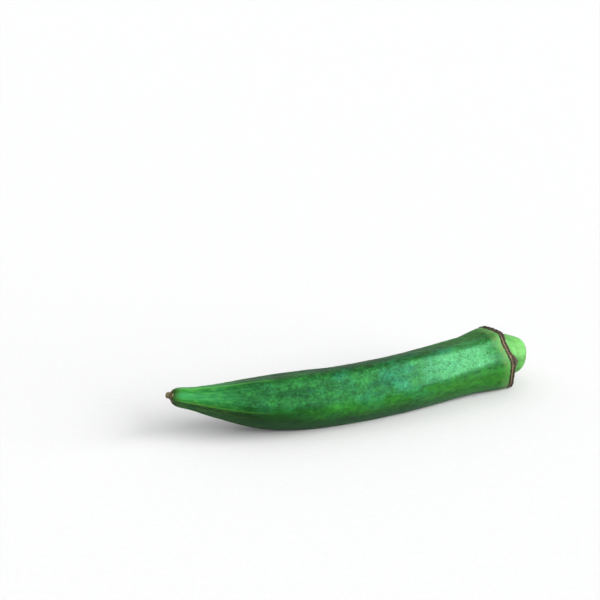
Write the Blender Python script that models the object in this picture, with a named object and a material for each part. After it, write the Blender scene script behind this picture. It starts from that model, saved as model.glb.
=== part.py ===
"""One okra pod, cut from the plant and lying on its belly.

The pod lies along X, with its dried style tip at -X and its cut stalk at +X. It bows towards -Y, the
tip end rises off the surface, and the origin is the middle of the flat spot that it rests on. It grew
as one piece, so it is one solid: five ridges with nearly flat sides between them, a tapering beak,
the scalloped scar of the fallen calyx, and the pale cap with its stub of cut stalk.
"""

from math import cos, pi, radians, sin, sqrt, tan

import bmesh
import bpy
from mathutils import Vector

MM = 0.001

# The run of the pod, along its middle
POD_LENGTH = 128.1 * MM  # from the tip to the calyx scar
BOW = radians(41)  # how far the pod turns sideways between its two ends
STALK_RECURVE = radians(9)  # how far the stalk end turns back again
RECURVE_FROM = 0.72  # share of the length where it starts to turn back
TIP_RISE = radians(8.5)  # how steeply the tip end climbs off the surface
STALK_RISE = radians(0.7)  # the same for the stalk end, which rests on its wider shoulder
RISE_UNTIL = 0.6  # share of the length where the one climb has turned into the other
STUB_LEAN = radians(18)  # how far the cap and stub lean back towards the bow's outer side
STUB_DROOP = radians(8.5)

# The cross-section
RIDGES = 5
RIDGE_PITCH = 2 * pi / RIDGES
FIRST_RIDGE = radians(-2)  # the ridge nearest to level on the -Y side, at the tip
TWIST = radians(14)  # how far the ridges wind round from the belly to the scar
TWIST_FROM = 0.42
CROWD = radians(20)  # how far the upper ridge draws down towards the -Y one near the scar
CROWD_FROM, CROWD_TO = 0.6, 0.92

# Distance from the tip and the radius over the ridges there, in millimetres
STYLE_STUB = ((-0.5, 0.7), (-0.2, 1.15), (0.8, 1.2), (1.3, 1.5))
BODY = ((1.8, 2.4), (3.2, 3.3), (9, 4.25), (18, 6.35), (30, 9.2), (42, 10.55), (60, 10.95), (95, 10.9))
SHOULDER = ((114, 11.0), (121, 11.8), (124.6, 12.25), (126.8, 12.3))
# Distance past the scar's inner edge: two fibrous lips with a groove between, then the cap and stub
SCAR = ((-0.6, 12.35), (-0.3, 12.55), (0.0, 12.3), (0.35, 11.8), (0.75, 11.75), (1.0, 11.2))
CAP = ((1.5, 10.1), (2.3, 9.05), (3.5, 8.15), (5.1, 7.4), (7.0, 6.9), (8.7, 6.4), (9.9, 5.65), (10.7, 4.75))
CUT_FACE = ((11.0, 3.8), (10.85, 2.1))

# How far the sides are flattened from round (0) to a straight-sided five-cornered section (1)
FLATNESS = ((0, 0.55), (6, 0.95), (25, 0.9), (48, 0.66), (105, 0.6), (117, 0.52), (127, 0.42))
CAP_FLATNESS = ((-0.6, 0.42), (1.0, 0.35), (4.5, 0.12), (8.0, 0.05), (10.0, 0.0))
# How far a ridge's edge is rounded off, in degrees round the pod
RIDGE_EDGE = ((0, 4), (30, 5), (70, 8), (118, 8), (126, 7))

# The scar isn't square with the pod, and the ridges run on into it, which scallops its outline
SCALLOP = 0.7 * MM
SCAR_LEAN = radians(10)  # its lower edge stands forward
SCAR_TURN = radians(5.5)  # and so does its +Y edge
SCAR_FADE = 16 * MM  # how far back along the pod the scar's shape starts
SCAR_FADE_CAP = 4.5 * MM  # how soon it is gone on the cap

# The mesh
SIDE_STEPS = 10  # faces round the pod from one ridge to the next
RIDGE_CROWDING = 0.45  # how much closer together they are at a ridge
BODY_RINGS = 62
PATH_STEPS = 512
REST_FLAT = 0.75 * MM  # how deep the belly's flat spot is

PIECES = {
    # colour as linear red, green and blue, then roughness
    "okra_skin": ((0.058, 0.262, 0.062), 0.42),
    "calyx_scar": ((0.105, 0.062, 0.028), 0.8),
    "cap_and_stub": ((0.27, 0.62, 0.17), 0.5),
    "dried_style": ((0.26, 0.185, 0.09), 0.85),
}


def smooth_step(share):
    """0 up to share 0, 1 from share 1, with no corner at either."""
    share = min(max(share, 0.0), 1.0)
    return share * share * (3 - 2 * share)


def between(points, where):
    """The value at `where` on a smooth curve through (place, value) points."""
    if where <= points[0][0]:
        return points[0][1]
    if where >= points[-1][0]:
        return points[-1][1]
    k = 0
    while points[k + 1][0] < where:
        k += 1
    (x0, y0), (x1, y1) = points[k], points[k + 1]
    rise = (y1 - y0) / (x1 - x0)
    before = rise if k == 0 else (y1 - points[k - 1][1]) / (x1 - points[k - 1][0])
    after = rise if k + 2 == len(points) else (points[k + 2][1] - y0) / (points[k + 2][0] - x0)
    t = (where - x0) / (x1 - x0)
    width = x1 - x0
    return (
        y0 * (1 + 2 * t) * (1 - t) ** 2
        + before * width * t * (1 - t) ** 2
        + y1 * t * t * (3 - 2 * t)
        + after * width * t * t * (t - 1)
    )


def heading(distance):
    """Which way the pod's middle runs at this distance from the tip."""
    share = distance / POD_LENGTH
    body_share = min(share, 1.0)
    turn = BOW * (body_share - 0.5)
    turn -= STALK_RECURVE * smooth_step((body_share - RECURVE_FROM) / (1 - RECURVE_FROM))
    climb = -TIP_RISE + (TIP_RISE + STALK_RISE) * smooth_step(share / RISE_UNTIL)
    if share > 1:
        turn -= STUB_LEAN
        climb -= STUB_DROOP
    return Vector((cos(turn) * cos(climb), sin(turn) * cos(climb), sin(climb)))


def middle_line(start, end):
    """Points along the pod's middle, as a list of (distance, place)."""
    step = (end - start) / PATH_STEPS
    place = Vector((0, 0, 0))
    line = [(start, place.copy())]
    for k in range(PATH_STEPS):
        place = place + heading(start + (k + 0.5) * step) * step
        line.append((start + (k + 1) * step, place.copy()))
    return line


def place_on(line, distance):
    """The place on the middle line at this distance."""
    step = line[1][0] - line[0][0]
    share = (distance - line[0][0]) / step
    k = min(max(int(share), 0), len(line) - 2)
    return line[k][1].lerp(line[k + 1][1], share - k)


def side_angles():
    """The angles of one ring's corners, as (angle from the first ridge, angle from the nearest ridge)."""
    angles = []
    for ridge in range(RIDGES):
        for step in range(SIDE_STEPS):
            share = step / SIDE_STEPS
            share -= RIDGE_CROWDING * sin(2 * pi * share) / (2 * pi)
            off_ridge = RIDGE_PITCH * min(share, 1 - share)
            angles.append((RIDGE_PITCH * (ridge + share), off_ridge))
    return angles


def section(off_ridge, flatness, edge):
    """The radius at this angle from the nearest ridge, as a share of the radius over the ridge."""
    rounded = sqrt(off_ridge**2 + edge**2) - edge
    straight = cos(RIDGE_PITCH / 2) / cos(RIDGE_PITCH / 2 - rounded)
    return 1 - flatness * (1 - straight)


def ring_places(line, distance, radius, flatness, scarred, angles):
    """The corners of the ring at this distance along the pod."""
    along = heading(distance)
    side = along.cross(Vector((0, 0, 1))).normalized()
    up = side.cross(along)
    middle = place_on(line, distance)
    start = FIRST_RIDGE + TWIST * smooth_step((distance / POD_LENGTH - TWIST_FROM) / (1 - TWIST_FROM))
    crowding = CROWD * smooth_step((distance / POD_LENGTH - CROWD_FROM) / (CROWD_TO - CROWD_FROM))
    edge = radians(between(RIDGE_EDGE, distance / MM))
    places = []
    for angle, off_ridge in angles:
        reach = radius * section(off_ridge, flatness, edge)
        turned = start + angle - crowding * sin(angle) * (1 + sin(angle)) / 2
        out = cos(turned) * side + sin(turned) * up
        onward = SCALLOP * (0.5 + 0.5 * cos(RIDGES * angle)) ** 2
        onward -= tan(SCAR_LEAN) * reach * sin(turned)
        onward -= tan(SCAR_TURN) * reach * cos(turned)
        places.append(middle + reach * out + scarred * onward * along)
    return places


def pod_rings():
    """Every ring from tip to stalk, as (distance, radius, flatness, share of the scar's shape, piece)."""
    outline = BODY + SHOULDER
    rings = [(x * MM, r * MM, 0.0, 0.0, "dried_style") for x, r in STYLE_STUB]
    first, last = outline[0][0], outline[-1][0]
    for k in range(BODY_RINGS + 1):
        share = k / BODY_RINGS
        # the rings stand closer together at the beak and at the shoulder
        share -= 0.09 * sin(2 * pi * share)
        distance = first + (last - first) * share
        scarred = smooth_step((distance * MM - POD_LENGTH + SCAR_FADE) / SCAR_FADE)
        flatness = between(FLATNESS, distance)
        rings.append((distance * MM, between(outline, distance) * MM, flatness, scarred, "okra_skin"))
    for x, r in SCAR:
        rings.append((POD_LENGTH + x * MM, r * MM, between(CAP_FLATNESS, x), 1.0, "calyx_scar"))
    for x, r in CAP + CUT_FACE:
        scarred = 1 - smooth_step(x * MM / SCAR_FADE_CAP)
        rings.append((POD_LENGTH + x * MM, r * MM, between(CAP_FLATNESS, x), scarred, "cap_and_stub"))
    return rings


def loft(rings, piece_names):
    """Skin the rings, close both ends with a middle point, and give each face its piece's material."""
    bm = bmesh.new()
    angles = side_angles()
    line = middle_line(rings[0][0], max(ring[0] for ring in rings))
    loops = []
    for distance, radius, flatness, scarred, piece in rings:
        places = ring_places(line, distance, radius, flatness, scarred, angles)
        loops.append(([bm.verts.new(place) for place in places], piece))
    for (lower, piece), (upper, _) in zip(loops, loops[1:]):
        for k in range(len(angles)):
            following = (k + 1) % len(angles)
            face = bm.faces.new((lower[k], lower[following], upper[following], upper[k]))
            face.material_index = piece_names.index(piece)
    for loop, piece in (loops[0], loops[-1]):
        middle = bm.verts.new(sum((v.co for v in loop), Vector()) / len(loop))
        for k, vert in enumerate(loop):
            face = bm.faces.new((vert, loop[(k + 1) % len(loop)], middle))
            face.material_index = piece_names.index(piece)
    bmesh.ops.recalc_face_normals(bm, faces=bm.faces)
    return bm


def cut_rest_flat(bm):
    """Slice the belly flat where the pod lies, and close the slice."""
    floor = min(v.co.z for v in bm.verts) + REST_FLAT
    everything = bm.verts[:] + bm.edges[:] + bm.faces[:]
    cut = bmesh.ops.bisect_plane(
        bm, geom=everything, plane_co=(0, 0, floor), plane_no=(0, 0, -1), dist=1e-7, clear_outer=True
    )
    rim = [part for part in cut["geom_cut"] if isinstance(part, bmesh.types.BMEdge)]
    filled = bmesh.ops.holes_fill(bm, edges=rim, sides=0)["faces"]
    bmesh.ops.recalc_face_normals(bm, faces=bm.faces)
    return max(filled, key=lambda face: face.calc_area())


def material(name, colour, roughness):
    made = bpy.data.materials.new(name)
    made.use_nodes = True
    shader = made.node_tree.nodes["Principled BSDF"]
    shader.inputs["Base Color"].default_value = (*colour, 1)
    shader.inputs["Roughness"].default_value = roughness
    shader.inputs["Metallic"].default_value = 0
    return made


def main():
    for thing in list(bpy.data.objects):
        bpy.data.objects.remove(thing, do_unlink=True)
    piece_names = list(PIECES)
    bm = loft(pod_rings(), piece_names)
    flat = cut_rest_flat(bm)
    bmesh.ops.translate(bm, verts=bm.verts, vec=-flat.calc_center_median_weighted())
    mesh = bpy.data.meshes.new("okra_pod")
    bm.to_mesh(mesh)
    bm.free()
    for name, (colour, roughness) in PIECES.items():
        mesh.materials.append(material(name, colour, roughness))
    mesh.shade_smooth()
    mesh.set_sharp_from_angle(angle=radians(50))
    pod = bpy.data.objects.new("okra_pod", mesh)
    bpy.context.scene.collection.objects.link(pod)


main()
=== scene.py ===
# One fresh okra pod on a pale studio floor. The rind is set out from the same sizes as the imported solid, and
# the scar, the cap and the dried style from finer profiles of their own. All are finished with what only
# shows close up: the relief of the grown rind, its hairs, the torn rim of the scar, the cut and the colours.
from functools import partial
from math import cos, radians, sin, tau

import bpy
import numpy as np
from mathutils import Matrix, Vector


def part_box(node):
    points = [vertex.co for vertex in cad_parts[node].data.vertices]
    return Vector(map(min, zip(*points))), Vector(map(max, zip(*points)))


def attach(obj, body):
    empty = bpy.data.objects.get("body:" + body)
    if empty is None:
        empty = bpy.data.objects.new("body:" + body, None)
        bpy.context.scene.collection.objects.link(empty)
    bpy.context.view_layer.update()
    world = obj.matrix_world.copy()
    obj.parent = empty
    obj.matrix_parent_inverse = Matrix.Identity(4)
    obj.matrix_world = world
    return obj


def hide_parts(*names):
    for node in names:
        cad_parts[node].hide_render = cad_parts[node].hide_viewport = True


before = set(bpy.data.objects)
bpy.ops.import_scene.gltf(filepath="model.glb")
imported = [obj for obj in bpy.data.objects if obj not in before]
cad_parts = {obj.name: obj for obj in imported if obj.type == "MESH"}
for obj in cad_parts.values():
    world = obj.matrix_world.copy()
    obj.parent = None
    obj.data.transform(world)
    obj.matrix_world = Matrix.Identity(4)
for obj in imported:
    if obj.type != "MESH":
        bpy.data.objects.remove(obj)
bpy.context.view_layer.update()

MM = 0.001
POD_BOX = [Vector(corner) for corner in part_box("okra_pod")]

# The run of the pod, along its middle. As far as the scar it is the solid's own. The stub bends gradually
# here, so in the end it leans and droops a little further than the solid's.
POD_LENGTH = 128.1  # from the tip to the calyx scar, in millimetres
BOW = radians(41)  # how far the pod turns sideways between its two ends
STALK_RECURVE = radians(9)  # how far the stalk end turns back again
RECURVE_FROM = 0.72
TIP_RISE = radians(8.5)  # how steeply the tip end climbs off the floor
STALK_RISE = radians(0.7)
RISE_UNTIL = 0.6
STUB_LEAN = radians(24)
STUB_DROOP = radians(11)
STUB_BEND_FROM, STUB_BEND_LENGTH = 0.8, 6.0  # in millimetres past the scar
PATH_STEP = 0.25  # in millimetres

# The section: five ridges, with sides between them that are flattened from round (0) to straight (1)
RIDGES = 5
RIDGE_EDGE = ((0, 4), (30, 5), (70, 8), (118, 8), (126, 7))  # in degrees round the pod
FIRST_RIDGE = radians(-2)
TWIST = radians(14)  # how far the ridges wind round from the belly to the scar
TWIST_FROM = 0.42  # like the other such shares, a share of the pod's length
CROWD = radians(20)  # how far the upper ridge draws down towards the -Y one near the scar
CROWD_FROM, CROWD_TO = 0.6, 0.92
FLATNESS = ((0, 0.55), (6, 0.95), (25, 0.9), (48, 0.66), (105, 0.6), (117, 0.52), (127, 0.42))
CAP_FLATNESS = ((-0.6, 0.42), (1.0, 0.35), (4.5, 0.12), (8.0, 0.05), (10.0, 0.0))
SCALLOP = 0.7  # how far the ridges run on past the sides at the scar, in millimetres
SCAR_LEAN = radians(10)  # the scar's lower edge stands forward
SCAR_TURN = radians(5.5)  # and so does its +Y edge
SCAR_FADE = 16.0  # how far back along the pod the scar's shape starts, in millimetres
SCAR_FADE_CAP_FROM, SCAR_FADE_CAP = 1.0, 4.5  # and how soon it is gone on the cap
SCAR_SHAPE_INSIDE = 0.3  # the share of it left at the middle of a closed end

# Distance from the tip, or past the scar's inner edge, and the radius over the ridges there
STYLE = (
    (-0.5, 0.0), (-0.48, 0.35), (-0.3, 0.75), (0.05, 1.02), (0.45, 1.05), (0.85, 1.15), (1.3, 1.6),
    (1.8, 2.2), (2.3, 2.4),
)
BODY = ((1.8, 2.4), (3.2, 3.3), (9, 4.25), (18, 6.35), (30, 9.2), (42, 10.55), (60, 10.95), (95, 10.9))
SHOULDER = ((114, 11.0), (121, 11.8), (124.6, 12.25), (126.8, 12.3))
SCAR = (
    (-1.9, 11.9), (-1.5, 12.3), (-1.25, 12.56), (-1.0, 12.58), (-0.8, 12.38), (-0.55, 12.24),
    (-0.3, 12.26), (-0.1, 12.46), (0.12, 12.54), (0.36, 12.4), (0.65, 12.0), (0.95, 11.4), (1.1, 10.6),
    (0.9, 9.8), (0.2, 8.5), (-1.0, 6.0),
)
CAP = (
    (0.0, 11.7), (0.85, 11.15), (1.55, 10.25), (2.3, 9.05), (3.5, 8.15), (5.1, 7.4), (7.0, 6.9),
    (8.7, 6.4), (9.9, 5.65),
)
CUT_FACE = ((10.5, 4.95), (10.8, 4.6), (10.96, 4.2), (10.98, 3.8), (10.9, 3.0), (10.76, 2.1), (10.65, 1.0))

# Faces from one ridge to the next, and rings along the rind or from one of a profile's points to the next
RIND_STEPS, RIND_RINGS = 44, 372
SCAR_STEPS, SCAR_RINGS = 84, 3
CAP_STEPS, CAP_RINGS = 44, 9
STYLE_STEPS, STYLE_RINGS = 24, 8
RIDGE_CROWDING = 0.45  # how much closer together the faces are at a ridge
END_CROWDING = 0.02  # and the rings at the two ends of the rind


def smooth_step(share):
    """0 up to share 0, 1 from share 1, with no corner at either."""
    share = min(max(share, 0.0), 1.0)
    return share * share * (3 - 2 * share)


def between(points, where):
    """The value at `where` on a smooth curve through (place, value) points."""
    if where <= points[0][0]:
        return points[0][1]
    if where >= points[-1][0]:
        return points[-1][1]
    k = 0
    while points[k + 1][0] < where:
        k += 1
    (x0, y0), (x1, y1) = points[k], points[k + 1]
    rise = (y1 - y0) / (x1 - x0)
    before = rise if k == 0 else (y1 - points[k - 1][1]) / (x1 - points[k - 1][0])
    after = rise if k + 2 == len(points) else (points[k + 2][1] - y0) / (points[k + 2][0] - x0)
    t = (where - x0) / (x1 - x0)
    width = x1 - x0
    return (
        y0 * (1 + 2 * t) * (1 - t) ** 2
        + before * width * t * (1 - t) ** 2
        + y1 * t * t * (3 - 2 * t)
        + after * width * t * t * (t - 1)
    )


def heading(distance):
    """Which way the pod's middle runs at this distance from the tip."""
    share = distance / POD_LENGTH
    body_share = min(share, 1.0)
    turn = BOW * (body_share - 0.5)
    turn -= STALK_RECURVE * smooth_step((body_share - RECURVE_FROM) / (1 - RECURVE_FROM))
    climb = -TIP_RISE + (TIP_RISE + STALK_RISE) * smooth_step(share / RISE_UNTIL)
    bend = smooth_step((distance - POD_LENGTH - STUB_BEND_FROM) / STUB_BEND_LENGTH)
    turn -= STUB_LEAN * bend
    climb -= STUB_DROOP * bend
    return Vector((cos(turn) * cos(climb), sin(turn) * cos(climb), sin(climb)))


def middle_line():
    """Places along the pod's middle every PATH_STEP, from the end of the style to past the cut stalk."""
    start, end = STYLE[0][0], POD_LENGTH + CUT_FACE[-1][0] + 1
    place = Vector((0, 0, 0))
    line = [place]
    for k in range(int((end - start) / PATH_STEP)):
        place = place + heading(start + (k + 0.5) * PATH_STEP) * PATH_STEP * MM
        line.append(place)
    return line


LINE = middle_line()


def place_on_line(distance):
    share = (distance - STYLE[0][0]) / PATH_STEP
    k = min(max(int(share), 0), len(LINE) - 2)
    return LINE[k].lerp(LINE[k + 1], share - k)


def side_angles(steps):
    """Angles round one ring, closer together at the ridges."""
    angles = []
    for ridge in range(RIDGES):
        for step in range(steps):
            share = step / steps
            share -= RIDGE_CROWDING * sin(tau * share) / tau
            angles.append(tau / RIDGES * (ridge + share))
    return angles


def body_stations():
    """The rings of the rind, as (distance, radius, flatness, share of the scar's shape)."""
    outline = BODY + SHOULDER
    first, last = outline[0][0], outline[-1][0]
    stations = []
    for k in range(RIND_RINGS + 1):
        share = k / RIND_RINGS
        share -= END_CROWDING * sin(tau * share)
        distance = first + (last - first) * share
        scarred = smooth_step((distance - POD_LENGTH + SCAR_FADE) / SCAR_FADE)
        stations.append((distance, between(outline, distance), between(FLATNESS, distance), scarred))
    return stations


def end_stations(profile, at, finer):
    """The rings of a short end piece, with `finer` rings from one of its profile's points to the next."""
    run = [0.0]
    for (x0, r0), (x1, r1) in zip(profile, profile[1:]):
        run.append(run[-1] + ((x1 - x0) ** 2 + (r1 - r0) ** 2) ** 0.5)
    places = [(s, x) for s, (x, _) in zip(run, profile)]
    radii = [(s, r) for s, (_, r) in zip(run, profile)]
    stations = []
    for k in range((len(profile) - 1) * finer + 1):
        s = run[-1] * k / ((len(profile) - 1) * finer)
        x, radius = between(places, s), max(between(radii, s), 0.0)
        if at == 0:
            flatness, scarred = 0.0, 0.0
        else:
            flatness = between(CAP_FLATNESS, x)
            scarred = 1 - smooth_step((x - SCAR_FADE_CAP_FROM) / SCAR_FADE_CAP)
        stations.append((at + x, radius, flatness, scarred))
    return stations


def tube(name, stations, steps):
    """A closed tube, its corners still on the pod's middle and what sets each one out in attributes."""
    angles = side_angles(steps)
    around = len(angles)
    ends = (stations[0], stations[-1])
    count = len(stations) * around
    rows = [station for station in stations for _ in angles] + list(ends)
    turn = np.array(angles * len(stations) + [0.0, 0.0], dtype=np.float32)
    distance, radius, flatness, scarred = (np.array(column, dtype=np.float32) for column in zip(*rows))
    edge = np.radians([between(RIDGE_EDGE, place) for place in distance])
    radius[count:] = 0.0
    scarred[count:] *= SCAR_SHAPE_INSIDE
    middle, side, up, along = [], [], [], []
    for station in [*stations, *ends]:
        ahead = heading(station[0])
        across = ahead.cross(Vector((0, 0, 1))).normalized()
        repeat = around if len(middle) < count else 1
        middle += [place_on_line(station[0])] * repeat
        side += [across] * repeat
        up += [across.cross(ahead)] * repeat
        along += [ahead] * repeat
    faces = []
    for ring in range(len(stations) - 1):
        for k in range(around):
            near, far = ring * around + k, ring * around + (k + 1) % around
            faces.append((near, far, far + around, near + around))
    for k in range(around):
        faces.append(((k + 1) % around, k, count))
        faces.append((count - around + k, count - around + (k + 1) % around, count + 1))
    mesh = bpy.data.meshes.new(name)
    mesh.from_pydata(middle, [], faces)
    grown = np.column_stack((distance, radius * np.cos(turn), radius * np.sin(turn)))
    for label, kind, values in (
        ("around", "FLOAT", turn),
        ("distance", "FLOAT", distance),
        ("radius", "FLOAT", radius),
        ("flatness", "FLOAT", flatness),
        ("scarred", "FLOAT", scarred),
        ("edge", "FLOAT", edge),
        ("side", "FLOAT_VECTOR", np.array(side)),
        ("up", "FLOAT_VECTOR", np.array(up)),
        ("along", "FLOAT_VECTOR", np.array(along)),
        ("grown_place", "FLOAT_VECTOR", grown),
    ):
        layer = mesh.attributes.new(label, kind, "POINT")
        layer.data.foreach_set("value" if kind == "FLOAT" else "vector", values.astype(np.float32).ravel())
    thing = bpy.data.objects.new(name, mesh)
    bpy.context.scene.collection.objects.link(thing)
    return thing


# ---------------------------------------------------------------- nodes


def node(tree, kind, feeds=(), out=0, **settings):
    """Add one node: `feeds` fills its inputs by place or name, and the output `out` is handed back.

    Where the kind goes on after a colon, that is the node's operation.
    """
    kind, _, operation = kind.partition(":")
    made = tree.nodes.new(kind)
    if operation:
        made.operation = operation
    for setting, value in settings.items():
        setattr(made, setting, value)
    for place, feed in feeds.items() if isinstance(feeds, dict) else enumerate(feeds):
        if isinstance(feed, bpy.types.NodeSocket):
            tree.links.new(feed, made.inputs[place])
        elif feed is not None:
            made.inputs[place].default_value = feed
    return made.outputs[out] if len(made.outputs) else made


MATH, VECTOR, RANGE, MIX = "ShaderNodeMath", "ShaderNodeVectorMath", "ShaderNodeMapRange", "ShaderNodeMix"
TIMES, PLUS, MINUS, OVER, TIMES_PLUS = (
    f"{MATH}:{operation}" for operation in ("MULTIPLY", "ADD", "SUBTRACT", "DIVIDE", "MULTIPLY_ADD")
)
SCALED, MOVED = f"{VECTOR}:SCALE", f"{VECTOR}:ADD"
NOISE, CELLS, MAPPING = "ShaderNodeTexNoise", "ShaderNodeTexVoronoi", "ShaderNodeMapping"
BUMP, SHADER, SURFACE = "ShaderNodeBump", "ShaderNodeBsdfPrincipled", "ShaderNodeOutputMaterial"
STORED, STORE = "GeometryNodeInputNamedAttribute", "GeometryNodeStoreNamedAttribute"
RANDOM = "FunctionNodeRandomValue"
SMOOTH = {"interpolation_type": "SMOOTHSTEP"}
# A mix takes its share at 0, and two numbers at 2 and 3 or two colours at 6 and 7; mixed colours leave at 2.
TINTED = {"data_type": "RGBA"}
DARKENED = {"data_type": "RGBA", "blend_type": "MULTIPLY"}


def new_tree(name, inputs):
    """A Geometry Nodes tree with these named inputs, as (tree, what adds a node to it, its inputs)."""
    tree = bpy.data.node_groups.new(name, "GeometryNodeTree")
    tree.interface.new_socket("Geometry", in_out="INPUT", socket_type="NodeSocketGeometry")
    for label, value in inputs.items():
        kind = {int: "NodeSocketInt", float: "NodeSocketFloat"}.get(type(value), "NodeSocketMaterial")
        socket = tree.interface.new_socket(label, in_out="INPUT", socket_type=kind)
        if value is not None:
            socket.default_value = value
    tree.interface.new_socket("Geometry", in_out="OUTPUT", socket_type="NodeSocketGeometry")
    add = partial(node, tree)
    return tree, add, add("NodeGroupInput").node.outputs


def grown_shape_tree():
    """Sets a tube's corners out to the five-ridged section, with a grown rind's relief on it."""
    tree, add, given = new_tree("five-ridged growth", {
        "Ridges": RIDGES,
        "Ridge rounding": 1.5,
        "First ridge": FIRST_RIDGE,
        "Twist": TWIST,
        "Twist starts": TWIST_FROM * POD_LENGTH,
        "Crowding": CROWD,
        "Crowding starts": CROWD_FROM * POD_LENGTH,
        "Crowding ends": CROWD_TO * POD_LENGTH,
        "Pod length": POD_LENGTH,
        "Scallop": SCALLOP,
        "Scar lean": SCAR_LEAN,
        "Scar turn": SCAR_TURN,
        "Light side": radians(38),
        "Ridge wander": radians(2.2),
        "Swell height": 0.2,
        "Seed bulge": 0.05,
        "Seed pitch": 5.6,
        "Ridge cord": 0.13,
        "Cord groove": 0.1,
        "Cord width": 0.55,
        "Net height": 0.045,
        "Ragged out": 0.0,
        "Ragged along": 0.0,
        "Ragged size": 1.0,
        "Corner spread": 0.0,
        "Remnant": 0.0,
        "Fluting": 0.0,
        "Fluting count": 10.0,
        "Draw": 3,
        "Material": None,
    })
    around, distance, radius, flatness, scarred, edge = (
        add(STORED, {"Name": label})
        for label in ("around", "distance", "radius", "flatness", "scarred", "edge")
    )
    side, up, along, grown = (
        add(STORED, {"Name": label}, data_type="FLOAT_VECTOR")
        for label in ("side", "up", "along", "grown_place")
    )
    draw = given["Draw"]

    # the ridges wander a little from straight; noise keeps near its middle, so it is spread out
    slow = add(VECTOR, (grown, (0.04, 0.06, 0.06)), operation="MULTIPLY")
    wander = add(NOISE, {"Vector": slow, "W": draw, "Scale": 1.0, "Detail": 1.0}, noise_dimensions="4D")
    wander = add(MINUS, (wander, 0.5))
    wander = add(TIMES, (wander, 4.0))
    wander = add(TIMES, (wander, given["Ridge wander"]))
    angle = add(PLUS, (around, wander))
    pitch = add(OVER, (tau, given["Ridges"]))
    half = add(TIMES, (pitch, 0.5))
    less = add(TIMES, (half, -1.0))
    off = add(MATH, (angle, half, less), operation="WRAP")
    off = add(MATH, (off,), operation="ABSOLUTE")

    # the section: straight sides between the ridges, rounded at each ridge's edge
    square = add(TIMES, (off, off))
    edge = add(TIMES, (edge, given["Ridge rounding"]))
    square = add(TIMES_PLUS, (edge, edge, square))
    rounded = add(MATH, (square,), operation="SQRT")
    rounded = add(MINUS, (rounded, edge))
    slant = add(MINUS, (half, rounded))
    slant = add(MATH, (slant,), operation="COSINE")
    middle = add(MATH, (half,), operation="COSINE")
    straight = add(OVER, (middle, slant))
    section = add(MINUS, (1.0, straight))
    section = add(TIMES, (section, flatness))
    section = add(MINUS, (1.0, section))
    outline = add(TIMES, (radius, section))

    # how far round from the nearest ridge: as a share of a half side, and in millimetres
    side_share = add(OVER, (off, half))
    gap = add(TIMES, (off, radius))

    # slow swelling of the flesh, longer along the pod than round it
    stretched = add(VECTOR, (grown, (0.07, 0.14, 0.14)), operation="MULTIPLY")
    swell = add(NOISE, {"Vector": stretched, "W": draw, "Scale": 1.0, "Detail": 2.0}, noise_dimensions="4D")
    swell = add(MINUS, (swell, 0.5))
    swell = add(TIMES, (swell, 3.0))
    relief = add(TIMES, (swell, given["Swell height"]))

    # seeds press faintly through the middle of each side, along the body only
    beat = add(OVER, (distance, given["Seed pitch"]))
    beat = add(TIMES_PLUS, (swell, 0.3, beat))
    beat = add(TIMES, (beat, tau))
    beat = add(MATH, (beat,), operation="COSINE")
    for share in (
        add(RANGE, (side_share, 0.35, 1.0, 0.0, 1.0), **SMOOTH),
        add(RANGE, (distance, 20.0, 45.0, 0.0, 1.0), **SMOOTH),
        add(RANGE, (distance, 104.0, 118.0, 1.0, 0.0), **SMOOTH),
    ):
        beat = add(TIMES, (beat, share))
    relief = add(TIMES_PLUS, (beat, given["Seed bulge"], relief))

    # a fine cord runs along each ridge, with a shallow groove beside it
    drawn_in = add(RANGE, (distance, 18.0, 50.0, 1.0, 0.15), **SMOOTH)
    for size, widths_off, sharpness, way in (("Ridge cord", 0.0, 1.0, 1.0), ("Cord groove", 2.4, 1.3, -1.0)):
        bead = add(OVER, (gap, given["Cord width"]))
        bead = add(MINUS, (bead, widths_off))
        bead = add(TIMES, (bead, bead))
        bead = add(TIMES, (bead, -sharpness))
        bead = add(MATH, (bead,), operation="EXPONENT")
        bead = add(TIMES, (bead, drawn_in))
        bead = add(TIMES, (bead, way))
        relief = add(TIMES_PLUS, (bead, given[size], relief))

    # the raised net of veins, drawn out along the pod
    drawn = add(VECTOR, (grown, (0.28, 0.62, 0.62)), operation="MULTIPLY")
    loose = add(NOISE, {"Vector": drawn, "Scale": 1.4, "Detail": 1.0}, "Color")
    loose = add(VECTOR, (loose, (0.5, 0.5, 0.5), drawn), operation="MULTIPLY_ADD")
    net = add(CELLS, {"Vector": loose, "Scale": 1.0}, feature="DISTANCE_TO_EDGE")
    net = add(RANGE, (net, 0.0, 0.16, 1.0, 0.0), **SMOOTH)
    relief = add(TIMES_PLUS, (net, given["Net height"], relief))

    # flutes run along the cap and the stalk
    flutes = add(TIMES, (around, given["Fluting count"]))
    flutes = add(PLUS, (flutes, swell))
    flutes = add(MATH, (flutes,), operation="COSINE")
    relief = add(TIMES_PLUS, (flutes, given["Fluting"], relief))

    # a torn or shrivelled edge is ragged outwards and along
    torn = add(OVER, (1.0, given["Ragged size"]))
    torn = add(SCALED, {0: grown, "Scale": torn})
    torn = add(NOISE, {"Vector": torn, "Scale": 1.0, "Detail": 3.0, "Roughness": 0.6}, "Color")
    torn = add(VECTOR, (torn, (0.5, 0.5, 0.5)), operation="SUBTRACT")
    torn_out = add("ShaderNodeSeparateXYZ", (torn,), "X")
    torn_along = add("ShaderNodeSeparateXYZ", (torn,), "Y")
    relief = add(TIMES_PLUS, (torn_out, given["Ragged out"], relief))
    ragged_along = add(TIMES, (torn_along, given["Ragged along"]))

    # relief dies away where a ring closes to a point
    room = add(RANGE, (radius, 0.0, 2.6, 0.0, 1.0))
    relief = add(TIMES, (relief, room))
    reach = add(PLUS, (outline, relief))
    reach = add(TIMES, (reach, MM))

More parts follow.
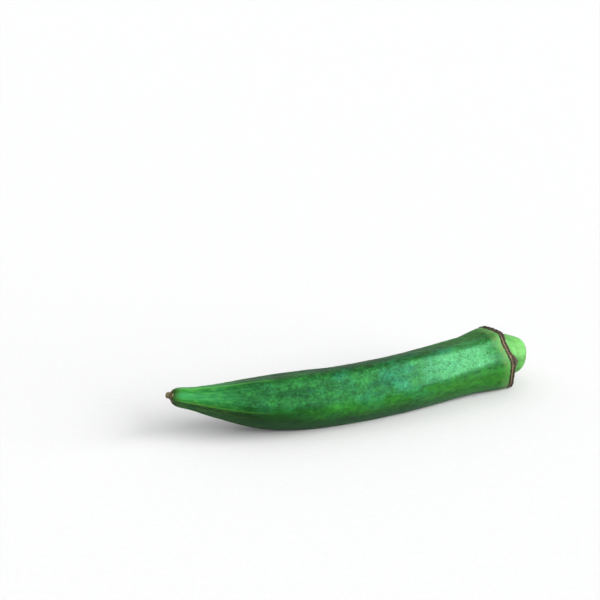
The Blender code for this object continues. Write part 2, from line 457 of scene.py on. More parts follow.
    # the ridges wind round from the belly to the scar
    wound = add(RANGE, (distance, given["Twist starts"], given["Pod length"], 0.0, 1.0), **SMOOTH)
    start = add(TIMES_PLUS, (wound, given["Twist"], given["First ridge"]))
    start = add(PLUS, (start, around))

    # near the scar the upper ridge draws down towards the nearest one
    crowded = add(RANGE, (distance, given["Crowding starts"], given["Crowding ends"], 0.0, 1.0), **SMOOTH)
    crowded = add(TIMES, (crowded, given["Crowding"]))
    upper = add(MATH, (around,), operation="SINE")
    half_upper = add(TIMES_PLUS, (upper, 0.5, 0.5))
    upper = add(TIMES, (upper, half_upper))
    upper = add(TIMES, (upper, crowded))
    start = add(MINUS, (start, upper))

    # which way each corner lies from the pod's middle, and how far round to the lit side and to the sky
    level = add(MATH, (start,), operation="COSINE")
    upward = add(MATH, (start,), operation="SINE")
    sunward = add(MINUS, (start, given["Light side"]))
    sunward = add(MATH, (sunward,), operation="COSINE")
    height = add(TIMES, (upward, outline))
    across = add(TIMES, (level, outline))
    level = add(SCALED, {0: side, "Scale": level})
    rise = add(SCALED, {0: up, "Scale": upward})
    out = add(MOVED, (level, rise))

    # the scar's outline is scalloped by the ridges, and isn't square with the pod
    wave = add(TIMES, (angle, given["Ridges"]))
    wave = add(MATH, (wave,), operation="COSINE")
    wave = add(TIMES_PLUS, (wave, 0.5, 0.5))
    wave = add(TIMES, (wave, wave))
    onward = add(TIMES, (wave, given["Scallop"]))
    for tilt, arm in (("Scar lean", height), ("Scar turn", across)):
        forward = add(MATH, (given[tilt],), operation="TANGENT")
        forward = add(TIMES, (forward, arm))
        onward = add(MINUS, (onward, forward))
    onward = add(TIMES_PLUS, (onward, scarred, ragged_along))

    # at the ridges' corners the scar is torn wider, and a scrap of the calyx is left on the first one
    past = add(MINUS, (distance, given["Pod length"]))
    corner = add(RANGE, (side_share, 0.08, 0.6, 1.0, 0.0), **SMOOTH)
    first = add(MATH, (around,), operation="COSINE")
    first = add(RANGE, (first, 0.85, 0.97, 0.0, 1.0))
    spread = add(TIMES_PLUS, (first, given["Remnant"], given["Corner spread"]))
    past = add(MATH, (past, -0.6), operation="MAXIMUM")
    past = add(TIMES, (past, corner))
    onward = add(TIMES_PLUS, (past, spread, onward))
    onward = add(TIMES, (onward, MM))
    out = add(SCALED, {0: out, "Scale": reach})
    onward = add(SCALED, {0: along, "Scale": onward})
    moved = add(MOVED, (out, onward))
    shaped = add("GeometryNodeSetPosition", {"Geometry": given["Geometry"], "Offset": moved})

    # what the finishes and the hairs read
    for label, value in (
        ("side_share", side_share), ("ridge_gap", gap), ("upward", upward), ("sunward", sunward),
    ):
        shaped = add(STORE, {"Geometry": shaped, "Name": label, "Value": value})
    shaped = add("GeometryNodeSetMaterial", {"Geometry": shaped, "Material": given["Material"]})
    add("NodeGroupOutput", (shaped,))
    return tree


def baked(thing, tree, name, material, **sizes):
    """The plain mesh that this tree makes of a thing, as a new object."""
    grown = bpy.data.objects.new(name, thing.data.copy())
    bpy.context.scene.collection.objects.link(grown)
    grown.data.name = name
    modifier = grown.modifiers.new(tree.name, "NODES")
    modifier.node_group = tree
    sockets = {item.name: item.identifier for item in tree.interface.items_tree if item.in_out == "INPUT"}
    modifier[sockets["Material"]] = material
    for label, value in sizes.items():
        modifier[sockets[label.replace("_", " ")]] = value
    seen = bpy.context.evaluated_depsgraph_get()
    mesh = bpy.data.meshes.new_from_object(grown.evaluated_get(seen), depsgraph=seen)
    grown.modifiers.clear()
    plain = grown.data
    grown.data = mesh
    bpy.data.meshes.remove(plain)
    mesh.name = name
    return grown


def strewn(add, given, share, shape, smallest, largest):
    """Ends a tree: thin cones stand on this share of its surface, leaning and sized at random."""
    share = add(TIMES, (share, given["Number per square mm"]))
    share = add(TIMES, (share, 1 / MM**2))
    roots = add("GeometryNodeDistributePointsOnFaces", {
        "Mesh": given["Geometry"], "Density": share, "Seed": given["Draw"],
    }, "Points")
    lean = add(RANDOM, {0: (-1, -1, -1), 1: (1, 1, 1), "Seed": given["Draw"]}, data_type="FLOAT_VECTOR")
    lean = add(SCALED, {0: lean, "Scale": given["Lean"]})
    way = add(MOVED, (roots.node.outputs["Normal"], lean))
    turned = add("FunctionNodeAlignRotationToVector", {"Vector": way}, axis="Z")
    thick = add(TIMES, (given["Thickness"], 0.5 * MM))
    tapered = add(TIMES, (thick, given["Taper"]))
    length = add(TIMES, (given["Length"], MM))
    strand = add("GeometryNodeMeshCone", {
        **shape, "Radius Top": tapered, "Radius Bottom": thick, "Depth": length,
    }, "Mesh")
    size = add(RANDOM, {0: smallest, 1: largest, "Seed": given["Draw"]}, data_type="FLOAT_VECTOR")
    strands = add("GeometryNodeInstanceOnPoints", {
        "Points": roots, "Instance": strand, "Rotation": turned, "Scale": size,
    })
    strands = add("GeometryNodeRealizeInstances", (strands,))
    strands = add("GeometryNodeSetMaterial", {"Geometry": strands, "Material": given["Material"]})
    add("NodeGroupOutput", (strands,))


def hair_tree():
    """Stands short stiff hairs on the rind, thickest along the ridges and towards the tip."""
    tree, add, given = new_tree("rind hairs", {
        "Number per square mm": 5.0,
        "Length": 0.75,
        "Thickness": 0.07,
        "Taper": 0.0,
        "Ridge reach": 1.5,
        "Lean": 0.55,
        "Draw": 11,
        "Material": None,
    })
    gap, distance = (add(STORED, {"Name": label}) for label in ("ridge_gap", "distance"))
    near = add(OVER, (gap, given["Ridge reach"]))
    near = add(TIMES, (near, near))
    near = add(TIMES, (near, -1.0))
    near = add(MATH, (near,), operation="EXPONENT")
    share = add(TIMES_PLUS, (near, 0.85, 0.15))
    beak = add(RANGE, (distance, 12.0, 70.0, 1.0, 0.55), **SMOOTH)
    share = add(TIMES, (share, beak))
    # none where the belly rests
    height = add("ShaderNodeSeparateXYZ", (add("GeometryNodeInputPosition"),), "Z")
    clear = add(RANGE, (height, 0.5 * MM, 2.0 * MM, 0.0, 1.0))
    share = add(TIMES, (share, clear))
    strewn(add, given, share, {"Vertices": 3, "Side Segments": 1}, (1, 1, 0.5), (1, 1, 1.4))
    return tree


def shred_tree():
    """Stands torn, dried fibres on a broken edge, thickest at the ridges' corners."""
    tree, add, given = new_tree("torn fibres", {
        "Number per square mm": 2.2,
        "Length": 0.9,
        "Thickness": 0.3,
        "Taper": 0.3,
        "From": POD_LENGTH - 0.8,
        "To": POD_LENGTH + 0.9,
        "Lean": 0.9,
        "Draw": 5,
        "Material": None,
    })
    distance, side_share = (add(STORED, {"Name": label}) for label in ("distance", "side_share"))
    after = add(MATH, (distance, given["From"]), operation="GREATER_THAN")
    before = add(MATH, (distance, given["To"]), operation="LESS_THAN")
    share = add(TIMES, (after, before))
    corner = add(RANGE, (side_share, 0.0, 0.5, 2.6, 0.6), **SMOOTH)
    share = add(TIMES, (share, corner))
    strewn(add, given, share, {"Vertices": 5, "Side Segments": 3}, (0.5, 0.3, 0.3), (1.3, 0.6, 1.0))
    return tree


# ---------------------------------------------------------------- materials


def colour(hex_code):
    """An sRGB hex value as linear red, green, blue and alpha."""
    parts = [int(hex_code[k:k + 2], 16) / 255 for k in (1, 3, 5)]
    return (*[p / 12.92 if p <= 0.04045 else ((p + 0.055) / 1.055) ** 2.4 for p in parts], 1.0)


def new_material(name, *labels):
    """An empty material, as (material, what adds a node to it), and what it reads off the piece's corners."""
    made = bpy.data.materials.new(name)
    made.use_nodes = True
    made.node_tree.nodes.clear()
    add = partial(node, made.node_tree)
    read = (
        add("ShaderNodeAttribute", (), "Vector" if label == "grown_place" else "Fac", attribute_name=label)
        for label in labels
    )
    return made, add, *read


def grown_rind():
    """Fresh okra rind, grown and unwashed.

    The flesh is mottled deep and yellow green with bluish bloom, in streaks drawn out along the pod. Dark
    pin-prick pores cluster down the middle of each side, the ridge cords are paler, and the rind is
    paler still and bruised pinkish brown where the calyx sat. It is waxy under a thin down of hairs.
    Painted shade darkens the sides turned from the key light, the very top and the underside, a painted
    highlight lies with the wax on the lit side, and a painted sheen greys the belly.
    """
    made, add, grown, gap, side_share, distance, upward, sunward = new_material(
        "okra_rind", "grown_place", "ridge_gap", "side_share", "distance", "upward", "sunward",
    )

    # patches of flesh 10 mm long and 5 mm round the pod
    patch = add(MAPPING, {"Vector": grown, "Scale": (1 / 10, 1 / 5, 1 / 5)})
    patch = add(NOISE, {"Vector": patch, "Scale": 1.0, "Detail": 4.0, "Roughness": 0.6})
    patch = add(RANGE, (patch, 0.36, 0.64, 0.0, 1.0))
    tint = add(MIX, {0: patch, 6: colour("#0A3813"), 7: colour("#226628")}, 2, **TINTED)

    # bluish bloom on the lit side of the body, in patches 8 mm long and 6 mm round the pod
    bloom = add(MAPPING, {"Vector": grown, "Location": (31, 7, 3), "Scale": (1 / 8, 1 / 6, 1 / 6)})
    bloom = add(NOISE, {"Vector": bloom, "Scale": 1.0, "Detail": 3.0, "Roughness": 0.55})
    bloom = add(RANGE, (bloom, 0.47, 0.68, 0.0, 0.7))
    for share in (
        add(RANGE, (distance, 104.0, 116.0, 1.0, 0.0)),
        add(RANGE, (distance, 34.0, 56.0, 0.45, 1.0)),
        add(RANGE, (sunward, 0.2, 0.75, 0.15, 1.0), **SMOOTH),
    ):
        bloom = add(TIMES, (bloom, share))
    tint = add(MIX, {0: bloom, 6: tint, 7: colour("#1C6850")}, 2, **TINTED)

    # mottling in blots 2.7 mm long and 2.1 mm wide
    mottle = add(MAPPING, {"Vector": grown, "Scale": (1 / 2.7, 1 / 2.1, 1 / 2.1)})
    mottle = add(NOISE, {"Vector": mottle, "Scale": 1.0, "Detail": 4.0, "Roughness": 0.65})
    mottle = add(RANGE, (mottle, 0.34, 0.68, 0.42, 1.12))
    tint = add(MIX, {0: 1.0, 6: tint, 7: mottle}, 2, **DARKENED)

    # pale streaks 9 mm long and 0.6 mm wide, plainest on the beak
    streak = add(MAPPING, {"Vector": grown, "Scale": (1 / 9, 1 / 0.6, 1 / 0.6)})
    streak = add(NOISE, {"Vector": streak, "Scale": 1.0, "Detail": 3.0, "Roughness": 0.6})
    streak = add(RANGE, (streak, 0.46, 0.7, 0.0, 1.0))
    drawn_out = add(RANGE, (distance, 14.0, 42.0, 0.6, 0.12))
    streak = add(TIMES, (streak, drawn_out))
    tint = add(MIX, {0: streak, 6: tint, 7: colour("#317838")}, 2, **TINTED)

    # a pale waxy bloom, partly a painted highlight, lies on the side facing the key light, thickest towards
    # the shoulder
    wax_and_painted_highlight = add(NOISE, {"Vector": grown, "Scale": 1 / 5, "Detail": 5.0, "Roughness": 0.7})
    wax_and_painted_highlight = add(RANGE, (wax_and_painted_highlight, 0.36, 0.6, 0.5, 1.0))
    for share in (
        add(RANGE, (distance, 76.0, 112.0, 0.1, 0.85), **SMOOTH),
        add(RANGE, (sunward, 0.7, 0.94, 0.05, 1.0), **SMOOTH),
        add(RANGE, (distance, 113.0, 126.0, 1.0, 0.3), **SMOOTH),
        add(RANGE, (side_share, 0.05, 0.4, 0.15, 1.0), **SMOOTH),
    ):
        wax_and_painted_highlight = add(TIMES, (wax_and_painted_highlight, share))
    tint = add(MIX, {0: wax_and_painted_highlight, 6: tint, 7: colour("#539A69")}, 2, **TINTED)

    # painted shade: the sides turned away from the key light are darkened, less so at the shoulder, and so is
    # the very top
    shaded = add(RANGE, (sunward, 0.35, 0.85, 0.72, 1.0), **SMOOTH)
    shoulder = add(RANGE, (distance, 96.0, 116.0, 0.0, 0.8), **SMOOTH)
    shaded = add(MIX, {0: shoulder, 2: shaded, 3: 1.0})
    tint = add(MIX, {0: 1.0, 6: tint, 7: shaded}, 2, **DARKENED)
    # painted shade along the very top
    top = add(RANGE, (upward, 0.88, 0.98, 1.0, 0.7), **SMOOTH)
    tint = add(MIX, {0: 1.0, 6: tint, 7: top}, 2, **DARKENED)

    # grain of 0.9 mm, in darks and lights
    grain = add(NOISE, {"Vector": grown, "Scale": 1 / 0.9, "Detail": 3.0, "Roughness": 0.7})
    grain = add(RANGE, (grain, 0.32, 0.68, 0.62, 1.32))
    tint = add(MIX, {0: 1.0, 6: tint, 7: grain}, 2, **DARKENED)

    # dark pores, most about half a millimetre across, strewn in loose clusters near mid-side
    bent = add(NOISE, {"Vector": grown, "Scale": 1 / 1.5, "Detail": 2.0}, "Color")
    bent = add(VECTOR, (bent, (1.6, 1.6, 1.6), grown), operation="MULTIPLY_ADD")
    pores = add(CELLS, {"Vector": bent, "Scale": 1 / 1.7}, "Distance")
    size = add(NOISE, {"Vector": grown, "Scale": 1 / 2.0})
    size = add(RANGE, (size, 0.36, 0.62, 0.0, 0.36))
    pores = add(MINUS, (size, pores))
    pores = add(RANGE, (pores, 0.0, 0.14, 0.0, 0.9))
    cluster = add(NOISE, {"Vector": grown, "Scale": 1 / 7, "Detail": 2.0})
    for share in (
        add(RANGE, (cluster, 0.44, 0.56, 0.15, 1.0)),
        add(RANGE, (side_share, 0.25, 0.6, 0.1, 1.0)),
    ):
        pores = add(TIMES, (pores, share))
    tint = add(MIX, {0: pores, 6: tint, 7: colour("#082C10")}, 2, **TINTED)

    # the cord along each ridge is paler, with a darker line beside it
    drawn_in = add(RANGE, (distance, 20.0, 45.0, 1.0, 0.06))
    cord = add(RANGE, (gap, 0.1, 0.55, 0.3, 0.0))
    cord = add(TIMES, (cord, drawn_in))
    tint = add(MIX, {0: cord, 6: tint, 7: colour("#4C8C3D")}, 2, **TINTED)
    beside = add(MINUS, (gap, 1.3))
    beside = add(MATH, (beside,), operation="ABSOLUTE")
    beside = add(RANGE, (beside, 0.0, 0.5, 0.5, 0.0))
    beside = add(TIMES, (beside, drawn_in))
    tint = add(MIX, {0: beside, 6: tint, 7: colour("#093511")}, 2, **TINTED)

    # towards the scar the rind turns a yellower green away from the lit side, unevenly
    ragged = add(NOISE, {"Vector": grown, "Scale": 1 / 3, "Detail": 3.0})
    ragged = add(TIMES_PLUS, (ragged, 5.0, distance))
    aged = add(RANGE, (ragged, 84.0, 118.0, 0.0, 0.65))
    uneven = add(RANGE, (mottle, 0.5, 1.05, 0.3, 1.0))
    for share in (add(RANGE, (sunward, 0.6, 0.94, 1.0, 0.25), **SMOOTH), uneven):
        aged = add(TIMES, (aged, share))
    tint = add(MIX, {0: aged, 6: tint, 7: colour("#2E6D1C")}, 2, **TINTED)

    # the last few millimetres under the calyx stayed pale, and are bruised in spots
    pale = add(RANGE, (ragged, 124.6, 129.4, 0.0, 0.75))
    tint = add(MIX, {0: pale, 6: tint, 7: colour("#5A8C4C")}, 2, **TINTED)
    bruise = add(NOISE, {"Vector": grown, "Scale": 1 / 2.4, "Detail": 2.0})
    bruise = add(RANGE, (bruise, 0.52, 0.64, 0.0, 0.6))
    bruise = add(TIMES, (bruise, pale))
    tint = add(MIX, {0: bruise, 6: tint, 7: colour("#6A4A36")}, 2, **TINTED)

    # the beak is paler, mint green down the middle of each side
    young = add(RANGE, (distance, 5.0, 31.0, 0.7, 0.0), **SMOOTH)
    tint = add(MIX, {0: young, 6: tint, 7: colour("#2B7B32")}, 2, **TINTED)
    minty = add(RANGE, (side_share, 0.3, 0.8, 0.0, 1.0), **SMOOTH)
    minty = add(TIMES, (minty, young))
    minty = add(TIMES, (minty, 0.95))
    tint = add(MIX, {0: minty, 6: tint, 7: colour("#3A874F")}, 2, **TINTED)

    # and lined lengthwise, with dark and pale lines 20 mm long and 0.7 mm wide
    lined = add(RANGE, (distance, 8.0, 40.0, 1.0, 0.0), **SMOOTH)
    lines = add(MAPPING, {"Vector": grown, "Location": (3, 9, 5), "Scale": (1 / 20, 1 / 0.7, 1 / 0.7)})
    lines = add(NOISE, {"Vector": lines, "Scale": 1.0, "Detail": 3.0, "Roughness": 0.6})
    dark_lines = add(RANGE, (lines, 0.5, 0.64, 0.0, 0.5))
    dark_lines = add(TIMES, (dark_lines, lined))
    tint = add(MIX, {0: dark_lines, 6: tint, 7: colour("#12552A")}, 2, **TINTED)
    pale_lines = add(RANGE, (lines, 0.46, 0.36, 0.0, 0.35))
    pale_lines = add(TIMES, (pale_lines, lined))
    tint = add(MIX, {0: pale_lines, 6: tint, 7: colour("#4A9A45")}, 2, **TINTED)

    # painted shade darkens the underside, most of all on the beak, where its pale lines are olive
    under = add(RANGE, (upward, -0.15, 0.3, 1.0, 0.0), **SMOOTH)
    deep = add(RANGE, (distance, 30.0, 70.0, 0.75, 0.2))
    under = add(TIMES, (under, deep))
    tint = add(MIX, {0: under, 6: tint, 7: colour("#0E3006")}, 2, **TINTED)
    olive = add(TIMES, (under, pale_lines))
    olive = add(TIMES, (olive, 2.0))
    tint = add(MIX, {0: olive, 6: tint, 7: colour("#5F7A22")}, 2, **TINTED)

    # the flank is yellow green below its ridge, in blots, and greyer towards the belly with a painted sheen of
    # floor light on its down
    flank = add(RANGE, (upward, 0.3, -0.05, 0.0, 1.0), **SMOOTH)
    for share in (
        add(RANGE, (upward, -0.75, -0.2, 0.0, 0.6), **SMOOTH),
        add(RANGE, (distance, 34.0, 60.0, 0.0, 1.0), **SMOOTH),
        uneven,
    ):
        flank = add(TIMES, (flank, share))
    tint = add(MIX, {0: flank, 6: tint, 7: colour("#2C6F1E")}, 2, **TINTED)
    painted_belly_sheen = add(RANGE, (upward, -0.45, -0.8, 0.0, 0.35), **SMOOTH)
    tint = add(MIX, {0: painted_belly_sheen, 6: tint, 7: colour("#33503A")}, 2, **TINTED)

    # a light line along each ridge of the beak
    ridge_line = add(RANGE, (gap, 0.1, 0.5, 0.5, 0.0), **SMOOTH)
    ridge_line = add(TIMES, (ridge_line, lined))
    tint = add(MIX, {0: ridge_line, 6: tint, 7: colour("#4C8C38")}, 2, **TINTED)

    # brown scuffs on the ridges of the beak
    scuff = add(NOISE, {"Vector": grown, "Scale": 1 / 1.1, "Detail": 3.0})
    scuff = add(RANGE, (scuff, 0.48, 0.66, 0.0, 0.6))
    for share in (
        add(RANGE, (gap, 0.3, 1.0, 1.0, 0.0)),
        add(RANGE, (distance, 5.0, 18.0, 1.0, 0.08)),
    ):
        scuff = add(TIMES, (scuff, share))
    tint = add(MIX, {0: scuff, 6: tint, 7: colour("#3F3F1C")}, 2, **TINTED)

    # the olive collar of the dried style
    collar = add(TIMES_PLUS, (lines, 5.0, distance))
    collar = add(RANGE, (collar, 4.6, 7.6, 0.9, 0.0))
    tint = add(MIX, {0: collar, 6: tint, 7: colour("#2F421A")}, 2, **TINTED)

    # waxy, with a faint cellular skin of 0.45 mm
    rough = add(RANGE, (grain, 0.62, 1.32, 0.56, 0.44))
    fine = add(CELLS, {"Vector": grown, "Scale": 1 / 0.45}, "Distance")
    raised = add(BUMP, {"Strength": 0.35, "Distance": 0.05 * MM, "Height": fine})
    shader = add(SHADER, {
        "Base Color": tint,
        "Roughness": rough,
        "IOR": 1.45,
        "Normal": raised,
        "Subsurface Weight": 0.08,
        "Subsurface Radius": (0.3, 1.0, 0.2),
        "Subsurface Scale": 0.8 * MM,
        "Specular IOR Level": 0.12,
        "Specular Tint": colour("#7FE8B4"),
    })
    add(SURFACE, (shader,))
    return made


def torn_calyx_scar():
    """The scar of the fallen calyx: torn and dried bark-like fibre.

    Dark brown lips have a tan groove between them, and paler torn bundles run out over the scar's face.
    """
    made, add, grown, distance, side_share = new_material(
        "dried_calyx_scar", "grown_place", "distance", "side_share",
    )
    fibre = add(NOISE, {"Vector": grown, "Scale": 1 / 0.8, "Detail": 4.0, "Roughness": 0.7})
    fibre = add(RANGE, (fibre, 0.35, 0.65, 0.0, 1.0))
    tint = add(MIX, {0: fibre, 6: colour("#140F08"), 7: colour("#352817")}, 2, **TINTED)
    off_corner = add(RANGE, (side_share, 0.1, 0.3, 0.25, 1.0))

    # torn bundles run out like spokes over the scar's face
    spokes = add(VECTOR, (grown, (0, 1, 1)), operation="MULTIPLY")
    spokes = add(VECTOR, (spokes,), operation="NORMALIZE")
    spokes = add(NOISE, {"Vector": spokes, "Scale": 22.0, "Detail": 4.0, "Roughness": 0.65})
    spokes = add(RANGE, (spokes, 0.42, 0.62, 0.0, 0.8))
    on_face = add(RANGE, (distance, POD_LENGTH + 0.1, POD_LENGTH + 0.7, 0.15, 1.0))
    for share in (on_face, off_corner):
        spokes = add(TIMES, (spokes, share))
    tint = add(MIX, {0: spokes, 6: tint, 7: colour("#4A3E24")}, 2, **TINTED)

    # the groove wanders and is broken by the fibre; `drift` times the middle of the noise is taken off again
    groove_at, drift = POD_LENGTH - 0.55, 0.5
    ragged = add(NOISE, {"Vector": grown, "Scale": 1 / 1.3, "Detail": 2.0})
    ragged = add(TIMES_PLUS, (ragged, drift, distance))
    groove = add(MINUS, (ragged, groove_at + drift / 2))
    groove = add(MATH, (groove,), operation="ABSOLUTE")
    groove = add(RANGE, (groove, 0.12, 0.3, 0.9, 0.0))
    for share in (add(RANGE, (fibre, 0.2, 0.8, 0.4, 1.0)), off_corner):
        groove = add(TIMES, (groove, share))
    tint = add(MIX, {0: groove, 6: tint, 7: colour("#7A6A48")}, 2, **TINTED)

    fine = add(NOISE, {"Vector": grown, "Scale": 1 / 0.2, "Detail": 3.0})
    raised = add(BUMP, {"Strength": 0.6, "Distance": 0.1 * MM, "Height": fine})
    shader = add(SHADER, {"Base Color": tint, "Roughness": 0.82, "IOR": 1.45, "Normal": raised})
    add(SURFACE, (shader,))
    return made


def cut_stalk_flesh():
    """Smooth pale receptacle and stalk, cut across: tender, slightly see-through skin round a paler pith."""
    made, add, grown, distance, radius = new_material("pale_stalk_flesh", "grown_place", "distance", "radius")
    cloud = add(NOISE, {"Vector": grown, "Scale": 1 / 4, "Detail": 3.0})
    cloud = add(RANGE, (cloud, 0.35, 0.65, 0.0, 1.0))
    tint = add(MIX, {0: cloud, 6: colour("#376D30"), 7: colour("#549048")}, 2, **TINTED)

    # darker streaks 6 mm long and half a millimetre wide run along the skin
    streak = add(MAPPING, {"Vector": grown, "Scale": (1 / 6, 1 / 0.5, 1 / 0.5)})
    streak = add(NOISE, {"Vector": streak, "Scale": 1.0, "Detail": 2.0})
    streak = add(RANGE, (streak, 0.5, 0.7, 0.0, 0.35))
    tint = add(MIX, {0: streak, 6: tint, 7: colour("#2A6224")}, 2, **TINTED)

    # the cut: dried rim, green bark, a ring of woody bundles and a pale cellular pith
    on_cut = add(MATH, (distance, POD_LENGTH + CUT_FACE[0][0]), operation="GREATER_THAN")
    wavy = add(TIMES_PLUS, (cloud, 0.5, radius))
    pith = add(RANGE, (wavy, 2.5, 3.0, 0.0, 1.0))
    flesh = add(MIX, {0: pith, 6: colour("#8B9666"), 7: colour("#55803A")}, 2, **TINTED)
    bundle = add(CELLS, {"Vector": grown, "Scale": 1 / 0.75}, "Distance")
    bundle = add(RANGE, (bundle, 0.2, 0.4, 0.8, 0.0))
    ring = add(MINUS, (wavy, 3.6))
    ring = add(MATH, (ring,), operation="ABSOLUTE")
    ring = add(RANGE, (ring, 0.3, 0.6, 1.0, 0.0))
    bundle = add(TIMES, (bundle, ring))
    flesh = add(MIX, {0: bundle, 6: flesh, 7: colour("#2E4A1C")}, 2, **TINTED)
    cells = add(CELLS, {"Vector": grown, "Scale": 1 / 0.35}, "Distance")
    cells = add(RANGE, (cells, 0.0, 0.8, 1.12, 0.72))
    flesh = add(MIX, {0: 1.0, 6: flesh, 7: cells}, 2, **DARKENED)
    rim = add(RANGE, (wavy, 4.5, 5.0, 0.0, 0.8))
    flesh = add(MIX, {0: rim, 6: flesh, 7: colour("#4E4526")}, 2, **TINTED)
    tint = add(MIX, {0: on_cut, 6: tint, 7: flesh}, 2, **TINTED)

    fine = add(NOISE, {"Vector": grown, "Scale": 1 / 0.5, "Detail": 3.0})
    raised = add(BUMP, {"Strength": 0.2, "Distance": 0.05 * MM, "Height": fine})
    shader = add(SHADER, {
        "Base Color": tint,
        "Roughness": 0.55,
        "IOR": 1.42,
        "Specular IOR Level": 0.2,
        "Normal": raised,
        "Subsurface Weight": 0.3,
        "Subsurface Radius": (0.6, 1.0, 0.35),
        "Subsurface Scale": 2.0 * MM,
    })
    add(SURFACE, (shader,))
    return made


def shrivelled_style():
    """The dried rest of the style: papery tan skin, shrivelled lengthwise, darker in its folds."""
    made, add, grown = new_material("shrivelled_style", "grown_place")
    fold = add(MAPPING, {"Vector": grown, "Scale": (1 / 1.5, 1 / 0.3, 1 / 0.3)})
    fold = add(NOISE, {"Vector": fold, "Scale": 1.0, "Detail": 3.0})
    fold = add(RANGE, (fold, 0.35, 0.65, 0.0, 1.0))
    tint = add(MIX, {0: fold, 6: colour("#332D18"), 7: colour("#7A6F4C")}, 2, **TINTED)
    raised = add(BUMP, {"Strength": 0.6, "Distance": 0.1 * MM, "Height": fold})
    shader = add(SHADER, {"Base Color": tint, "Roughness": 0.85, "IOR": 1.45, "Normal": raised})
    add(SURFACE, (shader,))
    return made


def hair_down():
    """Plant hairs: clear, whitish green, stiff. They catch the light at the pod's edges."""
    made, add = new_material("rind_hair")
    place = add("ShaderNodeTexCoord", (), "Object")
    vary = add(NOISE, {"Vector": place, "Scale": 900.0})
    vary = add(RANGE, (vary, 0.35, 0.65, 0.0, 1.0))
    tint = add(MIX, {0: vary, 6: colour("#55803F"), 7: colour("#9DB98A")}, 2, **TINTED)
    shader = add(SHADER, {"Base Color": tint, "Roughness": 0.5, "IOR": 1.45, "Transmission Weight": 0.3})
    add(SURFACE, (shader,))
    return made


def seamless_paper():
    """The studio floor: matt white paper with a hardly visible tooth."""
    made, add = new_material("seamless_paper")
    place = add("ShaderNodeTexCoord", (), "Object")
    tooth = add(NOISE, {"Vector": place, "Scale": 500.0, "Detail": 3.0})
    shade = add(RANGE, (tooth, 0.3, 0.7, 0.0, 1.0))
    tint = add(MIX, {0: shade, 6: colour("#B5B5B5"), 7: colour("#B7B7B7")}, 2, **TINTED)
    shader = add(SHADER, {"Base Color": tint, "Roughness": 0.9, "IOR": 1.45})
    add(SURFACE, (shader,))
    return made


# ---------------------------------------------------------------- the pod


def corners_of(thing):
    places = np.empty(len(thing.data.vertices) * 3, dtype=np.float32)
    thing.data.vertices.foreach_get("co", places)
    return places.reshape(-1, 3)


def put_corners(thing, places):
    thing.data.vertices.foreach_set("co", places.astype(np.float32).ravel())
    thing.data.update()


def settle(pieces, softness=0.12 * MM):
    """Move the pieces together to where the solid lies, and press the belly flat on the floor."""
    everything = np.concatenate([corners_of(piece) for piece in pieces])
    low, high = everything.min(axis=0), everything.max(axis=0)
    shift = (np.array(POD_BOX[0]) + np.array(POD_BOX[1]) - low - high) / 2
    shift[2] = POD_BOX[1].z - high[2]
    for piece in pieces:
        places = corners_of(piece) + shift
        height = places[:, 2]
        places[:, 2] = 0.5 * (height + np.sqrt(height**2 + softness**2))
        put_corners(piece, places)


def tidy(piece):
    """Lift what pokes through the floor, keep only what the finish reads, and shade the piece smooth."""
    places = corners_of(piece)
    places[:, 2] = np.maximum(places[:, 2], 0)
    put_corners(piece, places)
    for label in ("around", "flatness", "scarred", "edge", "side", "up", "along"):
        if label in piece.data.attributes:
            piece.data.attributes.remove(piece.data.attributes[label])
    piece.data.shade_smooth()


def make_pod():
    rind, scar_fibre, flesh = grown_rind(), torn_calyx_scar(), cut_stalk_flesh()
    style_skin, down = shrivelled_style(), hair_down()
    growth = grown_shape_tree()
    sheets = {
        "pod_rind": (tube("rind_sheet", body_stations(), RIND_STEPS), rind, {}),
        "calyx_scar": (
            tube("scar_sheet", end_stations(SCAR, POD_LENGTH, SCAR_RINGS), SCAR_STEPS),
            scar_fibre,
            {
                "Ragged_out": 0.6, "Ragged_along": 1.1, "Ragged_size": 1.2,
                "Corner_spread": 0.12, "Remnant": 0.65,
            },
        ),
        "cap_and_stub": (
            tube("cap_sheet", end_stations(CAP + CUT_FACE, POD_LENGTH, CAP_RINGS), CAP_STEPS),
            flesh,
            {"Swell_height": 0.1, "Ridge_cord": 0.05, "Cord_groove": 0.0, "Fluting": 0.05, "Seed_bulge": 0.0},
        ),
        "dried_style": (
            tube("style_sheet", end_stations(STYLE, 0, STYLE_RINGS), STYLE_STEPS),
            style_skin,
            {"Ragged_out": 1.0, "Ragged_along": 0.9, "Ragged_size": 0.9, "Swell_height": 0.1},
        ),
    }
    pieces = {}
    for name, (sheet, finish, sizes) in sheets.items():
        pieces[name] = baked(sheet, growth, name, finish, **sizes)
        bpy.data.objects.remove(sheet, do_unlink=True)
    settle(pieces.values())
    pieces["rind_hairs"] = baked(pieces["pod_rind"], hair_tree(), "rind_hairs", down)
    pieces["scar_fibres"] = baked(pieces["calyx_scar"], shred_tree(), "scar_fibres", scar_fibre)
    for piece in pieces.values():
        tidy(piece)
    for name, slot in (
        ("pod_rind", "okra_skin"),
        ("calyx_scar", "calyx_scar"),
        ("cap_and_stub", "cap_and_stub"),
        ("dried_style", "dried_style"),
        ("rind_hairs", "okra_skin"),
        ("scar_fibres", "calyx_scar"),
    ):
        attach(pieces[name], "root")
    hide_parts("okra_pod")


# ---------------------------------------------------------------- the studio


def lay_floor():
    half = 12.0  # in metres, so that the floor runs on past every view
    mesh = bpy.data.meshes.new("floor")
    corners = [(-half, -half, 0), (half, -half, 0), (half, half, 0), (-half, half, 0)]
    mesh.from_pydata(corners, [], [(0, 1, 2, 3)])
    mesh.materials.append(seamless_paper())
    floor = bpy.data.objects.new("floor", mesh)
    bpy.context.scene.collection.objects.link(floor)


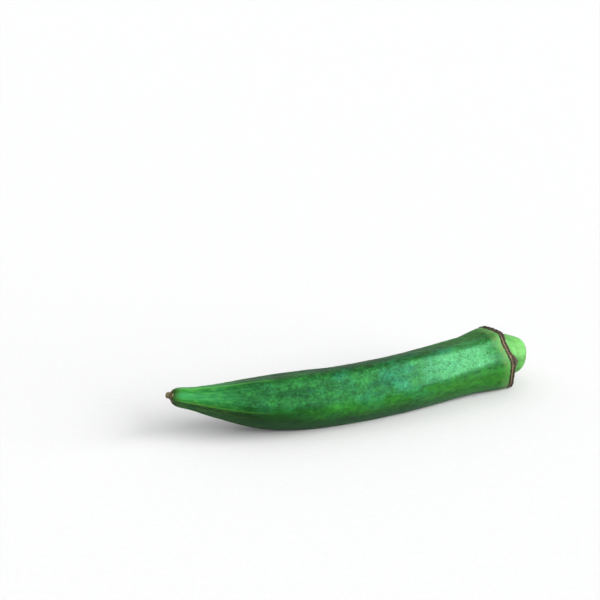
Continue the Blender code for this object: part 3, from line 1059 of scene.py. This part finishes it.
def hang_light(name, direction, spread, power, tint):
    """A large far softbox in this direction, `spread` degrees across as the pod sees it."""
    lamp = bpy.data.lights.new(name, "SUN")
    lamp.angle = radians(spread)
    lamp.energy = power
    lamp.color = colour(tint)[:3]
    light = bpy.data.objects.new(name, lamp)
    bpy.context.scene.collection.objects.link(light)
    way = Vector(direction).normalized()
    light.location = way
    light.rotation_mode = "QUATERNION"
    light.rotation_quaternion = way.to_track_quat("Z", "Y")


VIEW_AZIMUTH = radians(-22.3)  # round from the pod's -Y side towards its tip
VIEW_ELEVATION = radians(24)
VIEW_DISTANCE = 0.55  # in metres
LENS = 92.05
LOOK_LEFT, LOOK_UP = 0.0374, 0.0536  # how far past the pod's middle the camera looks, for each metre away


def set_camera(centre):
    camera = bpy.data.cameras.new("camera")
    camera.lens = LENS
    camera.sensor_width = 36.0
    camera.clip_start = 0.02
    stand = bpy.data.objects.new("camera", camera)
    bpy.context.scene.collection.objects.link(stand)
    back = Vector((
        sin(VIEW_AZIMUTH) * cos(VIEW_ELEVATION),
        -cos(VIEW_AZIMUTH) * cos(VIEW_ELEVATION),
        sin(VIEW_ELEVATION),
    ))
    stand.location = centre + back * VIEW_DISTANCE
    stand.rotation_mode = "QUATERNION"
    ahead = Vector((0, 0, -1))
    past = ahead.rotation_difference(ahead + Vector((-LOOK_LEFT, LOOK_UP, 0)))
    stand.rotation_quaternion = back.to_track_quat("Z", "Y") @ past
    bpy.context.scene.camera = stand


def set_studio():
    centre = (POD_BOX[0] + POD_BOX[1]) / 2
    lay_floor()
    hang_light("key_softbox", (0.7, -0.6, 0.39), 62, 9.4, "#FFFFFF")
    hang_light("top_softbox", (-0.05, 0.4, 0.91), 110, 1.7, "#FFFFFF")
    world = bpy.data.worlds.new("studio")
    world.use_nodes = True
    backdrop = world.node_tree.nodes["Background"]
    backdrop.inputs["Color"].default_value = colour("#F7F8FA")
    backdrop.inputs["Strength"].default_value = 0.42
    bpy.context.scene.world = world
    bpy.context.scene.view_settings.view_transform = "Standard"
    set_camera(centre)


make_pod()
set_studio()
